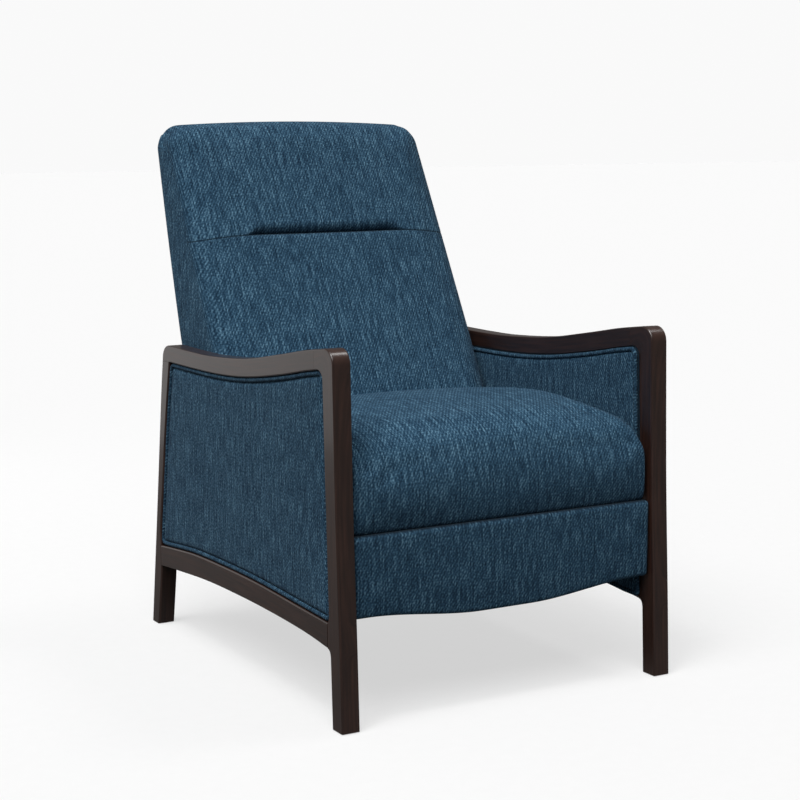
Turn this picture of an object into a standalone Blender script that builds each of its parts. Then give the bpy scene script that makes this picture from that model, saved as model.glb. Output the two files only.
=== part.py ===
"""Push-back recliner armchair with bentwood-style side frames.

Units are metres, +Z is up and the chair faces -Y. The origin is on the floor, at the
centre of the chair's footprint. "left" and "right" are as seen from the front.
Side outlines are lists of (depth behind the front feet, height).
"""
import math

import bmesh
import bpy
from mathutils import Vector

# ---------------------------------------------------------------- driving dimensions
WIDTH = 0.680             # over the outer faces of the side frames
DEPTH = 0.8792            # front feet to the top of the backrest
HEIGHT = 1.004            # floor to the top of the backrest
FRAME_THICK = 0.0335      # side frame members, measured across the chair
ARM_THICK = 0.032
GAP = 0.0003              # between pieces that touch

GLIDE_HEIGHT = 0.0015
GLIDE_RADIUS = 0.011
EDGE_ROUND = 0.003
PANEL_CORNER = 0.016

FRAME_OUT = WIDTH / 2
FRAME_IN = FRAME_OUT - FRAME_THICK

# side upholstery, measured outwards from the chair's middle plane
OUTER_PAD_X = (FRAME_OUT - 0.0127, FRAME_OUT - 0.0015)
BOARD_X = (FRAME_IN + GAP, FRAME_OUT - 0.0130)
INNER_PAD_X = (FRAME_IN - 0.0080, FRAME_IN - GAP)
WELT_RADIUS = 0.0038

# seat
SEAT_HALF_WIDTH = 0.297
SEAT_FRONT = 0.033
SEAT_BOTTOM = 0.3275
SEAT_DECK = 0.398         # underside of the foam, on top of the seat frame
SEAT_CROWN = 0.500
SEAT_RAIL_BOTTOM = 0.333
SEAT_RAIL_THICK = 0.022
SEAT_SIDE_RAIL_X = (0.262, 0.283)
SEAT_REAR_RAIL = (0.453, 0.475)
SPRING_COUNT = 4
SPRING_PITCH = 0.120
SPRING_WAVES = 9
SPRING_AMPLITUDE = 0.024
SPRING_WIRE = 0.0018
SPRING_END_GAP = 0.0028

# backrest: two planes that lean by different angles
BACK_HALF_WIDTH = 0.288
BACK_FRONT_FOOT = (0.483, 0.402)
BACK_FRONT_LEAN = math.radians(28.2)
BACK_REAR_FOOT = (0.690, 0.402)
BACK_REAR_LEAN = math.radians(17.7)
BACK_COVER_THICK = 0.006
BACK_BOARD_THICK = 0.018
BACK_BOARD_HALF_WIDTHS = (0.250, 0.272)      # beside the brackets, and above them
BACK_BOARD_HEIGHTS = (0.410, 0.570, 0.985)
BACK_BOARD_CUT = 0.038     # cut off each upper corner
BACK_HINGE = (0.600, 0.360)

# footrest
FOOTREST_HALF_WIDTH = 0.304
FOOTREST_TOP = 0.3245
FOOTREST_END_BOTTOM = 0.187
FOOTREST_APRON_DROP = 0.019
APRON_WAVE = (0.050, 0.280)          # half widths where the wave is lowest and where it ends
FOOTREST_PAD_Y = (0.0195, 0.0440)
FOOTREST_BOARD_Y = (0.0443, 0.0590)
FOOTREST_BOARD_INSET = 0.010

# mechanism: flat steel links in separate planes on each side of the chair
STEEL = 0.003
BASE_RAIL_X = (0.2945, 0.2975)
BASE_FLANGE_IN = 0.2665
BASE_RAIL_Z = (0.155, 0.235)
BASE_RAIL_Y = (0.260, 0.735)
CARRIER_X = (0.2625, 0.2655)
SIDE_PLATE_X = (0.2577, 0.2617)
LINK_OUTER_X = (0.2535, 0.2565)
LINK_INNER_X = (0.2495, 0.2525)
BRACKET_X = (0.2455, 0.2485)
CARRIER_LENGTH = 0.110
CARRIER_LEAN = math.radians(35.0)     # backwards from upright, at rest
FRONT_CARRIER_FOOT = (0.345, 0.215)
REAR_CARRIER_FOOT = (0.585, 0.215)
LINK_HALF_WIDTH = 0.009
RIVET_RADIUS = 0.0055

# footrest linkage at rest: link A and link C hang down and back, links B and D run forward
LINK_A_PIVOT = (0.178, 0.335)
LINK_A_LENGTH = 0.170
LINK_A_ANGLE = math.radians(-110.0)   # from straight forward, upwards positive
LINK_B_RUN = (-0.140, 0.080)
FOOTREST_PIVOT_SPACING = 0.045
LINK_C_SPACING = 0.070

FRONT_STRETCHER_Y = (0.302, 0.334)
REAR_STRETCHER_Y = (0.697, 0.722)
STRETCHER_Z = (0.1583, 0.200)


# ---------------------------------------------------------------- outlines
def row_y(depth):
    """Row-frame y of a depth measured from the front feet."""
    return depth - DEPTH / 2


def smooth(points, steps=4):
    """Points of a smooth curve through the given points."""
    ends = [points[0]] + list(points) + [points[-1]]
    curve = []
    for i in range(len(points) - 1):
        p0, p1, p2, p3 = (Vector(ends[i + k]) for k in range(4))
        for s in range(steps):
            t = s / steps
            value = 0.5 * (2 * p1 + (p2 - p0) * t + (2 * p0 - 5 * p1 + 4 * p2 - p3) * t * t
                           + (3 * p1 - p0 - 3 * p2 + p3) * t ** 3)
            curve.append(tuple(value))
    return curve + [tuple(points[-1])]


def fillet(before, corner, after, radius, steps=5):
    """Arc points that round a corner."""
    corner = Vector(corner)
    a = (Vector(before) - corner).normalized()
    b = (Vector(after) - corner).normalized()
    half = a.angle(b) / 2
    reach = radius / math.tan(half)
    centre = corner + (a + b).normalized() * (radius / math.sin(half))
    start = corner + a * reach - centre
    turn = start.angle_signed(corner + b * reach - centre)
    points = []
    for s in range(steps + 1):
        angle = -turn * s / steps
        x = start.x * math.cos(angle) - start.y * math.sin(angle)
        y = start.x * math.sin(angle) + start.y * math.cos(angle)
        points.append((centre.x + x, centre.y + y))
    return points


def rounded(corners, radius, steps=5):
    """A closed outline with every corner rounded."""
    outline = []
    for i, corner in enumerate(corners):
        outline += fillet(corners[i - 1], corner, corners[(i + 1) % len(corners)], radius, steps)
    return outline


def inset(outline, distance):
    """A closed outline moved inwards."""
    area = sum(a[0] * b[1] - b[0] * a[1] for a, b in zip(outline, outline[1:] + outline[:1]))
    sign = 1 if area > 0 else -1
    moved = []
    for i, point in enumerate(outline):
        along = Vector(outline[(i + 1) % len(outline)]) - Vector(outline[i - 1])
        normal = Vector((-along.y, along.x)).normalized() * sign
        moved.append(tuple(Vector(point) + normal * distance))
    return moved


def stadium(start, end, radius, steps=6):
    """The outline of a flat link with round ends."""
    along = Vector(end) - Vector(start)
    heading = math.atan2(along.y, along.x)
    outline = []
    for centre, base in ((end, heading - math.pi / 2), (start, heading + math.pi / 2)):
        for s in range(steps + 1):
            angle = base + math.pi * s / steps
            outline.append((centre[0] + radius * math.cos(angle), centre[1] + radius * math.sin(angle)))
    return outline


# ---------------------------------------------------------------- materials
def material(name, colour, roughness, metallic=0.0):
    mat = bpy.data.materials.get(name)
    if mat is None:
        mat = bpy.data.materials.new(name)
        mat.use_nodes = True
        shader = mat.node_tree.nodes["Principled BSDF"]
        shader.inputs["Base Color"].default_value = (*colour, 1.0)
        shader.inputs["Roughness"].default_value = roughness
        shader.inputs["Metallic"].default_value = metallic
    return mat


def wood():
    return material("espresso_wood", (0.040, 0.024, 0.020), 0.35)


def fabric():
    return material("blue_fabric", (0.035, 0.090, 0.150), 0.9)


def plain_wood():
    return material("plain_wood", (0.45, 0.32, 0.18), 0.7)


def steel():
    return material("mechanism_steel", (0.10, 0.10, 0.11), 0.4, 0.9)


def spring_steel():
    return material("spring_steel", (0.30, 0.30, 0.32), 0.35, 1.0)


def nylon():
    return material("glide_nylon", (0.05, 0.05, 0.05), 0.6)


# ---------------------------------------------------------------- building tools
def clear_scene():
    for obj in list(bpy.data.objects):
        bpy.data.objects.remove(obj, do_unlink=True)


def place(name, mesh, mat, pivot):
    """Make the object, with its origin on the pivot (depth, height)."""
    origin = Vector((0.0, 0.0, 0.0)) if pivot is None else Vector((0.0, row_y(pivot[0]), pivot[1]))
    for vertex in mesh.vertices:
        vertex.co -= origin
    obj = bpy.data.objects.new(name, mesh)
    obj.location = origin
    mesh.materials.append(mat)
    bpy.context.collection.objects.link(obj)
    return obj


def solid_mesh(name, lower, upper):
    """A closed mesh from two matching rings of points."""
    bm = bmesh.new()
    low = [bm.verts.new(p) for p in lower]
    high = [bm.verts.new(p) for p in upper]
    bm.faces.new(low)
    bm.faces.new(list(reversed(high)))
    for i in range(len(low)):
        j = (i + 1) % len(low)
        bm.faces.new((low[i], high[i], high[j], low[j]))
    bmesh.ops.recalc_face_normals(bm, faces=bm.faces)
    mesh = bpy.data.meshes.new(name)
    bm.to_mesh(mesh)
    bm.free()
    return mesh


def side_slab(name, outline, x_range, mat, pivot=None):
    """Extrude a (depth, height) outline across the chair."""
    lower = [(x_range[0], row_y(d), z) for d, z in outline]
    upper = [(x_range[1], row_y(d), z) for d, z in outline]
    return place(name, solid_mesh(name, lower, upper), mat, pivot)


def front_slab(name, outline, depths, mat, pivot=None):
    """Extrude an (x, height) outline along the chair."""
    lower = [(x, row_y(depths[0]), z) for x, z in outline]
    upper = [(x, row_y(depths[1]), z) for x, z in outline]
    return place(name, solid_mesh(name, lower, upper), mat, pivot)


def block(name, x_range, depths, heights, mat, pivot=None):
    corners = [(depths[0], heights[0]), (depths[1], heights[0]),
               (depths[1], heights[1]), (depths[0], heights[1])]
    return side_slab(name, corners, x_range, mat, pivot)


def round_edges(obj, width, segments=2, angle=35.0):
    bevel = obj.modifiers.new("edge_round", "BEVEL")
    bevel.width = width
    bevel.segments = segments
    bevel.limit_method = "ANGLE"
    bevel.angle_limit = math.radians(angle)
    return obj


def shade_round(mesh, angle=40.0):
    mesh.shade_smooth()
    mesh.set_sharp_from_angle(angle=math.radians(angle))


def rod_along_x(name, centre, x_range, radius, mat, sides=16, pivot=None):
    outline = [(centre[0] + radius * math.cos(2 * math.pi * k / sides),
                centre[1] + radius * math.sin(2 * math.pi * k / sides)) for k in range(sides)]
    obj = side_slab(name, outline, x_range, mat, pivot)
    shade_round(obj.data)
    return obj


def add_pin(obj, centre, x_range, radius, pivot=None):
    """Join a round pin to a piece."""
    index = len(obj.modifiers)
    pin = rod_along_x(f"{obj.name}_pin_{index}", centre, x_range, radius, steel(), 12, pivot)
    pin.hide_render = True
    pin.display_type = "WIRE"
    union = obj.modifiers.new(f"pin_{index}", "BOOLEAN")
    union.operation = "UNION"
    union.object = pin


def tube(name, points, radius, mat, closed, resolution, pivot=None):
    """A round tube through world points."""
    origin = Vector((0.0, 0.0, 0.0)) if pivot is None else Vector((0.0, row_y(pivot[0]), pivot[1]))
    curve = bpy.data.curves.new(name, "CURVE")
    curve.dimensions = "3D"
    curve.bevel_depth = radius
    curve.bevel_resolution = resolution
    curve.use_fill_caps = not closed
    spline = curve.splines.new("POLY")
    spline.points.add(len(points) - 1)
    for target, point in zip(spline.points, points):
        target.co = (*(Vector(point) - origin), 1.0)
    spline.use_cyclic_u = closed
    curve.materials.append(mat)
    obj = bpy.data.objects.new(name, curve)
    obj.location = origin
    bpy.context.collection.objects.link(obj)
    return obj


def across(side, inner, outer):
    """An x range on one side of the chair, lowest first."""
    return tuple(sorted((side * inner, side * outer)))


SIDES = (("left", -1), ("right", 1))


# ---------------------------------------------------------------- side frames
RAIL_JOINT = 0.0515       # depth where the bottom rail meets the front leg
LEG_REAR_EDGE = [(0.0580, 0.4330), (0.0475, 0.2150), (0.0459, 0.1803), (RAIL_JOINT, 0.1802),
                 (RAIL_JOINT, 0.1372), (0.0455, 0.1335), (0.0408, 0.1230), (0.0350, GLIDE_HEIGHT + GAP)]
ARM_JOINT = 0.0935        # depth where the arm rail meets the head of the front leg
ARM_TOP_EDGE = [(ARM_JOINT + GAP, 0.6345), (0.1390, 0.6275), (0.2300, 0.6105), (0.3610, 0.5888),
                (0.5020, 0.5770), (0.6000, 0.5745), (0.6900, 0.5745)]
ARM_LOWER_EDGE = [(ARM_JOINT + GAP, 0.6000), (0.1300, 0.5940), (0.2300, 0.5750), (0.3580, 0.5560),
                  (0.4740, 0.5470), (0.6000, 0.5440), (0.7060, 0.5433)]
RAIL_UPPER_EDGE = [(RAIL_JOINT + GAP, 0.1802), (0.1300, 0.1825), (0.3255, 0.1880), (0.4680, 0.1870),
                   (0.5980, 0.1830), (0.7030, 0.1735), (0.7642, 0.1667)]
RAIL_LOWER_EDGE = [(RAIL_JOINT + GAP, 0.1372), (0.1310, 0.1440), (0.2590, 0.1480), (0.3970, 0.1480),
                   (0.5450, 0.1440), (0.6920, 0.1330), (0.7642, 0.1265)]
REAR_LEG_FRONT_EDGE = [(0.7840, GLIDE_HEIGHT + GAP), (0.7670, 0.1000), (0.7645, 0.1265),
                       (0.7645, 0.1667), (0.7670, 0.2030), (0.7520, 0.2835),
                       (0.7315, 0.4140), (0.7060, 0.5427)]
REAR_LEG_REAR_EDGE = [(0.7380, 0.5427), (0.7400, 0.5310), (0.7510, 0.4590), (0.7800, 0.2460),
                      (0.8150, GLIDE_HEIGHT + GAP)]


def front_leg(side_name, side):
    front_edge = [(0.0006, GLIDE_HEIGHT + GAP), (0.0070, 0.1400), (0.0165, 0.3080), (0.0215, 0.4200)]
    top_round = fillet(front_edge[-1], (0.0290, 0.6430), (ARM_JOINT, 0.6345), 0.026, 6)
    inner_round = fillet((ARM_JOINT, 0.6000), (0.0655, 0.6045), (0.0580, 0.4330), PANEL_CORNER, 4)
    head = [(ARM_JOINT, 0.6345), (ARM_JOINT, 0.6000)]
    outline = front_edge + top_round + head + inner_round + LEG_REAR_EDGE
    leg = side_slab(f"front_leg_{side_name}", outline, across(side, FRAME_IN, FRAME_OUT), wood())
    return round_edges(leg, EDGE_ROUND)


def arm_rail(side_name, side):
    rear_round = fillet(ARM_TOP_EDGE[-1], (0.7335, 0.5745), (0.7380, 0.5430), 0.028, 6)
    outline = smooth(ARM_TOP_EDGE) + rear_round + [(0.7380, 0.5430)] + list(reversed(smooth(ARM_LOWER_EDGE)))
    rail = side_slab(f"arm_rail_{side_name}", outline, across(side, FRAME_IN, FRAME_OUT), wood())
    return round_edges(rail, EDGE_ROUND)


def bottom_rail(side_name, side):
    outline = smooth(RAIL_UPPER_EDGE, 3) + list(reversed(smooth(RAIL_LOWER_EDGE, 3)))
    rail = side_slab(f"bottom_rail_{side_name}", outline, across(side, FRAME_IN, FRAME_OUT), wood())
    return round_edges(rail, EDGE_ROUND)


def rear_leg(side_name, side):
    outline = REAR_LEG_REAR_EDGE + REAR_LEG_FRONT_EDGE
    leg = side_slab(f"rear_leg_{side_name}", outline, across(side, FRAME_IN, FRAME_OUT), wood())
    return round_edges(leg, EDGE_ROUND)


def glides(side_name, side):
    centre_x = side * (FRAME_IN + FRAME_OUT) / 2
    for end, depth in (("front", 0.0168), ("rear", 0.7995)):
        lower = []
        upper = []
        for k in range(20):
            angle = 2 * math.pi * k / 20
            x = centre_x + GLIDE_RADIUS * math.cos(angle)
            y = row_y(depth) + GLIDE_RADIUS * math.sin(angle)
            lower.append((x, y, 0.0))
            upper.append((x, y, GLIDE_HEIGHT))
        name = f"glide_{end}_{side_name}"
        place(name, solid_mesh(name, lower, upper), nylon(), None)


# ---------------------------------------------------------------- side upholstery
def frame_opening():
    """The edge of the opening in a side frame."""
    top = list(reversed(smooth(ARM_LOWER_EDGE, 3)))
    corner = fillet((ARM_JOINT, 0.6000), (0.0655, 0.6045), (0.0580, 0.4330), PANEL_CORNER, 4)
    front = [(0.0580, 0.4330), (0.0475, 0.2150), (0.0464, 0.1870)]
    bottom = smooth(RAIL_UPPER_EDGE, 3)
    rear = [(0.7670, 0.2030), (0.7520, 0.2835), (0.7315, 0.4140)]
    return top + corner + front + bottom + rear


def panel_outline(margin, lower_edge, front_foot, rear_foot):
    """The edge of a side panel, moved in by a margin, with round corners."""
    top = list(reversed(smooth(ARM_LOWER_EDGE, 3)[2:-2]))
    bottom = smooth(lower_edge, 3)[2:-2]
    front_top = (0.0655, 0.6045)
    rear_top = (0.7060, 0.5433)
    front_middle = (0.0580, 0.4330)
    rear_middle = [(0.7520, 0.2835), (0.7315, 0.4140)]
    outline = top + fillet(top[-1], front_top, front_middle, PANEL_CORNER)
    outline += [front_middle] + fillet(front_middle, front_foot, bottom[0], PANEL_CORNER)
    outline += bottom + fillet(bottom[-1], rear_foot, rear_middle[0], PANEL_CORNER)
    outline += rear_middle + fillet(rear_middle[-1], rear_top, top[0], PANEL_CORNER)
    return inset(outline, margin)


def outer_outline(margin):
    return panel_outline(margin, RAIL_UPPER_EDGE, (0.0455, 0.1800), (0.7690, 0.1690))


def inner_outline(margin):
    """The inner panel also covers the bottom rail."""
    return panel_outline(margin, RAIL_LOWER_EDGE, (0.0440, 0.1400), (0.7660, 0.1330))


def side_upholstery(side_name, side):
    board = inset(frame_opening(), 0.0006)
    side_slab(f"panel_board_{side_name}", board, across(side, *BOARD_X), plain_wood())
    welt_margin = WELT_RADIUS + GAP
    pad_margin = 2 * WELT_RADIUS + 3 * GAP
    outer_pad = outer_outline(pad_margin)
    side_slab(f"outer_pad_{side_name}", outer_pad, across(side, *OUTER_PAD_X), fabric())
    welt_x = side * (FRAME_OUT - WELT_RADIUS - 0.0005)
    ring = [(welt_x, row_y(d), z) for d, z in outer_outline(welt_margin)]
    tube(f"outer_welt_{side_name}", ring, WELT_RADIUS, fabric(), True, 1)
    inner_pad = inner_outline(pad_margin)
    side_slab(f"inner_pad_{side_name}", inner_pad, across(side, *INNER_PAD_X), fabric())
    welt_x = side * (FRAME_IN - WELT_RADIUS - GAP)
    ring = [(welt_x, row_y(d), z) for d, z in inner_outline(welt_margin)]
    tube(f"inner_welt_{side_name}", ring, WELT_RADIUS, fabric(), True, 1)


# ---------------------------------------------------------------- fixed base
def base_rail(side_name, side):
    """Steel angle on the side frame, with the pivot pins of the carrier links."""
    x_range = across(side, *BASE_RAIL_X)
    inner = side * BASE_FLANGE_IN
    outer = side * BASE_RAIL_X[1]
    web = side * BASE_RAIL_X[0]
    top, bottom = BASE_RAIL_Z[1], BASE_RAIL_Z[0]
    section = [(outer, bottom), (outer, top), (web, top), (web, bottom + STEEL),
               (inner, bottom + STEEL), (inner, bottom)]
    rail = front_slab(f"base_rail_{side_name}", section, BASE_RAIL_Y, steel())
    pin_x = across(side, CARRIER_X[1] + GAP, (x_range[0] + x_range[1]) / 2 * side)
    for foot in (FRONT_CARRIER_FOOT, REAR_CARRIER_FOOT):
        add_pin(rail, foot, pin_x, RIVET_RADIUS)


def stretchers():
    span = (-BASE_RAIL_X[0] + GAP, BASE_RAIL_X[0] - GAP)
    for name, depths in (("front_stretcher", FRONT_STRETCHER_Y), ("rear_stretcher", REAR_STRETCHER_Y)):
        round_edges(block(name, span, depths, STRETCHER_Z, plain_wood()), 0.002, 1)


# ---------------------------------------------------------------- carrier links
def carrier_top(foot):
    return (foot[0] + CARRIER_LENGTH * math.sin(CARRIER_LEAN),
            foot[1] + CARRIER_LENGTH * math.cos(CARRIER_LEAN))


def carriers(side_name, side):
    for end, foot in (("front", FRONT_CARRIER_FOOT), ("rear", REAR_CARRIER_FOOT)):
        top = carrier_top(foot)
        outline = stadium(foot, top, 0.011)
        link = side_slab(f"{end}_carrier_{side_name}", outline, across(side, *CARRIER_X), steel(), foot)
        head_x = across(side, CARRIER_X[0] + 0.001, CARRIER_X[1] + 0.003)
        add_pin(link, top, head_x, RIVET_RADIUS, foot)


def torque_tube():
    """Joins the two front carrier links half way up."""
    top = carrier_top(FRONT_CARRIER_FOOT)
    middle = ((FRONT_CARRIER_FOOT[0] + top[0]) / 2, (FRONT_CARRIER_FOOT[1] + top[1]) / 2)
    half = CARRIER_X[0] - GAP
    rod_along_x("torque_tube", middle, (-half, half), 0.008, steel(), 18, FRONT_CARRIER_FOOT)


# ---------------------------------------------------------------- seat
def seat_pivot():
    return carrier_top(FRONT_CARRIER_FOOT)


def seat_cushion():
    front_round = fillet((SEAT_FRONT, SEAT_BOTTOM), (SEAT_FRONT, 0.478), (0.150, 0.497), 0.035, 6)
    crown = [(0.250, SEAT_CROWN), (0.380, 0.493), (0.510, 0.470)]
    underside = [(0.473, SEAT_DECK), (SEAT_FRONT + SEAT_RAIL_THICK, SEAT_DECK),
                 (SEAT_FRONT + SEAT_RAIL_THICK, SEAT_BOTTOM)]
    outline = [(SEAT_FRONT, SEAT_BOTTOM)] + front_round + crown + underside
    span = (-SEAT_HALF_WIDTH, SEAT_HALF_WIDTH)
    side_slab("seat_cushion", outline, span, fabric(), seat_pivot())


def seat_frame():
    front = SEAT_FRONT + SEAT_RAIL_THICK + GAP
    heights = (SEAT_RAIL_BOTTOM, SEAT_DECK - GAP)
    pivot = seat_pivot()
    rail_x = SEAT_SIDE_RAIL_X[1]
    front_depths = (front, front + SEAT_RAIL_THICK)
    block("seat_front_rail", (-rail_x, rail_x), front_depths, heights, plain_wood(), pivot)
    rear_x = SIDE_PLATE_X[0] - 2 * GAP
    block("seat_rear_rail", (-rear_x, rear_x), SEAT_REAR_RAIL, heights, plain_wood(), pivot)
    side_depths = (front_depths[1] + GAP, 0.580)
    for side_name, side in SIDES:
        x_range = across(side, *SEAT_SIDE_RAIL_X)
        corners = [(side_depths[0], heights[0]), (side_depths[1], heights[0]),
                   (side_depths[1], 0.362), (SEAT_REAR_RAIL[0], 0.366),
                   (SEAT_REAR_RAIL[0], heights[1]), (side_depths[0], heights[1])]
        side_slab(f"seat_side_rail_{side_name}", corners, x_range, plain_wood(), pivot)


def seat_springs():
    """Zigzag springs from the front rail to the rear rail."""
    front = SEAT_FRONT + 2 * SEAT_RAIL_THICK + SPRING_END_GAP
    rear = SEAT_REAR_RAIL[0] - SPRING_END_GAP
    steps = SPRING_WAVES * 6
    for k in range(SPRING_COUNT):
        centre = (k - (SPRING_COUNT - 1) / 2) * SPRING_PITCH
        points = []
        for s in range(steps + 1):
            t = s / steps
            swing = SPRING_AMPLITUDE * math.sin(math.pi * SPRING_WAVES * t)
            sag = 0.006 * math.sin(math.pi * t)
            points.append((centre + swing, row_y(front + (rear - front) * t), 0.390 - sag))
        tube(f"seat_spring_{k + 1}", points, SPRING_WIRE, spring_steel(), False, 1, seat_pivot())


def side_plate(side_name, side):
    """Steel plate under the seat that carries every seat pivot."""
    corners = [(0.160, 0.352), (0.160, 0.324), (0.222, 0.287), (0.665, 0.287),
               (0.665, 0.330), (0.618, 0.379), (0.583, 0.379), (0.560, 0.352)]
    outline = rounded(corners, 0.008, 3)
    plate = side_slab(f"side_plate_{side_name}", outline, across(side, *SIDE_PLATE_X), steel(), seat_pivot())
    hinge_x = across(side, LINK_OUTER_X[1] + 0.0005, (SIDE_PLATE_X[0] + SIDE_PLATE_X[1]) / 2)
    add_pin(plate, BACK_HINGE, hinge_x, 0.008, seat_pivot())


# ---------------------------------------------------------------- backrest
def back_point(offset, height):
    """Point at a height, an offset forward of the back's rear plane."""
    lean = math.tan(BACK_REAR_LEAN)
    depth = BACK_REAR_FOOT[0] + lean * (height - BACK_REAR_FOOT[1]) - offset / math.cos(BACK_REAR_LEAN)
    return (depth, height)


def back_front(height):
    return BACK_FRONT_FOOT[0] + math.tan(BACK_FRONT_LEAN) * (height - BACK_FRONT_FOOT[1])


def back_pad():
    behind = BACK_COVER_THICK + BACK_BOARD_THICK + 2 * GAP
    foot = BACK_FRONT_FOOT[1]
    shoulder = HEIGHT - 0.050
    top_front = (back_front(shoulder) + 0.028, HEIGHT - 0.004)
    outline = [BACK_FRONT_FOOT, (back_front(shoulder), shoulder)]
    outline += [(back_front(shoulder) + 0.008, HEIGHT - 0.020), top_front]
    outline += [back_point(behind, HEIGHT), back_point(behind, foot)]
    span = (-BACK_HALF_WIDTH, BACK_HALF_WIDTH)
    pad = side_slab("back_pad", outline, span, fabric(), BACK_HINGE)
    round_edges(pad, 0.014, 2, 50.0)


def back_board():
    """Plywood back, narrower at its foot where the brackets run up beside it."""
    near = BACK_COVER_THICK + GAP
    far = near + BACK_BOARD_THICK
    foot, shoulder, top = BACK_BOARD_HEIGHTS
    right_edge = [(BACK_BOARD_HALF_WIDTHS[0], foot), (BACK_BOARD_HALF_WIDTHS[0], shoulder),
                  (BACK_BOARD_HALF_WIDTHS[1], shoulder), (BACK_BOARD_HALF_WIDTHS[1], top - BACK_BOARD_CUT),
                  (BACK_BOARD_HALF_WIDTHS[1] - BACK_BOARD_CUT, top)]
    outline = right_edge + [(-x, z) for x, z in reversed(right_edge)]
    rings = []
    for offset in (near, far):
        rings.append([(x, row_y(back_point(offset, z)[0]), z) for x, z in outline])
    place("back_board", solid_mesh("back_board", *rings), plain_wood(), BACK_HINGE)


def back_cover():
    foot = BACK_REAR_FOOT[1] - 0.010
    outline = [back_point(0.0, foot), back_point(0.0, HEIGHT - 0.012),
               back_point(BACK_COVER_THICK, HEIGHT - 0.004), back_point(BACK_COVER_THICK, foot)]
    span = (-BACK_HALF_WIDTH, BACK_HALF_WIDTH)
    cover = side_slab("back_cover", outline, span, fabric(), BACK_HINGE)
    round_edges(cover, 0.002, 1, 60.0)


def back_bracket(side_name, side):
    """Steel arm from the recline hinge up the edge of the back board."""
    near = BACK_COVER_THICK + GAP + 0.001
    far = near + 0.016
    corners = [(0.586, 0.346), (0.640, 0.352), back_point(near, 0.397), back_point(near, 0.560),
               back_point(far, 0.560), back_point(far, 0.402), (0.650, 0.384), (0.590, 0.376)]
    outline = rounded(corners, 0.004, 3)
    side_slab(f"back_bracket_{side_name}", outline, across(side, *LINK_OUTER_X), steel(), BACK_HINGE)


# ---------------------------------------------------------------- footrest linkage
def along_link(start, length, angle):
    return (start[0] - length * math.cos(angle), start[1] + length * math.sin(angle))


def shifted(point, run, share=1.0):
    return (point[0] + run[0] * share, point[1] + run[1] * share)


LINK_B_LENGTH = math.hypot(*LINK_B_RUN)
PIVOT_A_LOW = along_link(LINK_A_PIVOT, LINK_A_LENGTH, LINK_A_ANGLE)
PIVOT_A_MID = along_link(LINK_A_PIVOT, LINK_A_LENGTH - FOOTREST_PIVOT_SPACING, LINK_A_ANGLE)
FOOTREST_LOW = shifted(PIVOT_A_LOW, LINK_B_RUN)
FOOTREST_HIGH = shifted(PIVOT_A_MID, LINK_B_RUN)
LINK_C_PIVOT = shifted(LINK_A_PIVOT, LINK_B_RUN, -LINK_C_SPACING / LINK_B_LENGTH)
PIVOT_C_LOW = shifted(PIVOT_A_MID, LINK_B_RUN, -LINK_C_SPACING / LINK_B_LENGTH)


def footrest_links(side_name, side):
    outer = across(side, *LINK_OUTER_X)
    inner = across(side, *LINK_INNER_X)
    bars = (("a", LINK_A_PIVOT, PIVOT_A_LOW, outer, LINK_A_PIVOT),
            ("b", PIVOT_A_LOW, FOOTREST_LOW, inner, PIVOT_A_LOW),
            ("c", LINK_C_PIVOT, PIVOT_C_LOW, outer, LINK_C_PIVOT),
            ("d", PIVOT_C_LOW, FOOTREST_HIGH, inner, PIVOT_A_MID))
    head = across(side, LINK_OUTER_X[0] + 0.001, LINK_INNER_X[1] + 0.0004)
    for letter, start, end, x_range, pivot in bars:
        bar = side_slab(f"footrest_link_{letter}_{side_name}", stadium(start, end, LINK_HALF_WIDTH),
                        x_range, steel(), pivot)
        if letter == "a":
            add_pin(bar, PIVOT_A_MID, head, RIVET_RADIUS, pivot)
            add_pin(bar, PIVOT_A_LOW, head, RIVET_RADIUS, pivot)
        if letter == "c":
            add_pin(bar, PIVOT_C_LOW, head, RIVET_RADIUS, pivot)


def footrest_bracket(side_name, side):
    """Steel plate on the back of the footrest board, with its two pivots."""
    rear = FOOTREST_BOARD_Y[1] + GAP
    corners = [(rear, 0.215), (FOOTREST_LOW[0] + 0.004, FOOTREST_LOW[1] - 0.012),
               (FOOTREST_LOW[0] + 0.011, FOOTREST_LOW[1]), (FOOTREST_HIGH[0] + 0.009, FOOTREST_HIGH[1] + 0.008),
               (rear, FOOTREST_HIGH[1] + 0.010)]
    bracket = side_slab(f"footrest_bracket_{side_name}", corners, across(side, *BRACKET_X), steel(), FOOTREST_LOW)
    head = across(side, BRACKET_X[0] + 0.001, BRACKET_X[1] + 0.0006)
    add_pin(bracket, FOOTREST_LOW, head, RIVET_RADIUS, FOOTREST_LOW)


def apron_outline(inset_by, steps=24):
    """Front view of the footrest: straight top, a shallow wave along the bottom."""
    half = FOOTREST_HALF_WIDTH - inset_by
    outline = [(-half, FOOTREST_TOP - inset_by)]
    for s in range(steps + 1):
        x = -half + 2 * half * s / steps
        rise = min(1.0, max(0.0, (APRON_WAVE[1] - abs(x)) / (APRON_WAVE[1] - APRON_WAVE[0])))
        wave = rise * rise * (3 - 2 * rise)
        outline.append((x, FOOTREST_END_BOTTOM - FOOTREST_APRON_DROP * wave + inset_by))
    outline.append((half, FOOTREST_TOP - inset_by))
    return outline


def footrest():
    pad = front_slab("footrest_pad", apron_outline(0.0), FOOTREST_PAD_Y, fabric(), FOOTREST_LOW)
    round_edges(pad, 0.006, 2, 50.0)
    front_slab("footrest_board", apron_outline(FOOTREST_BOARD_INSET), FOOTREST_BOARD_Y,
               plain_wood(), FOOTREST_LOW)


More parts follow.
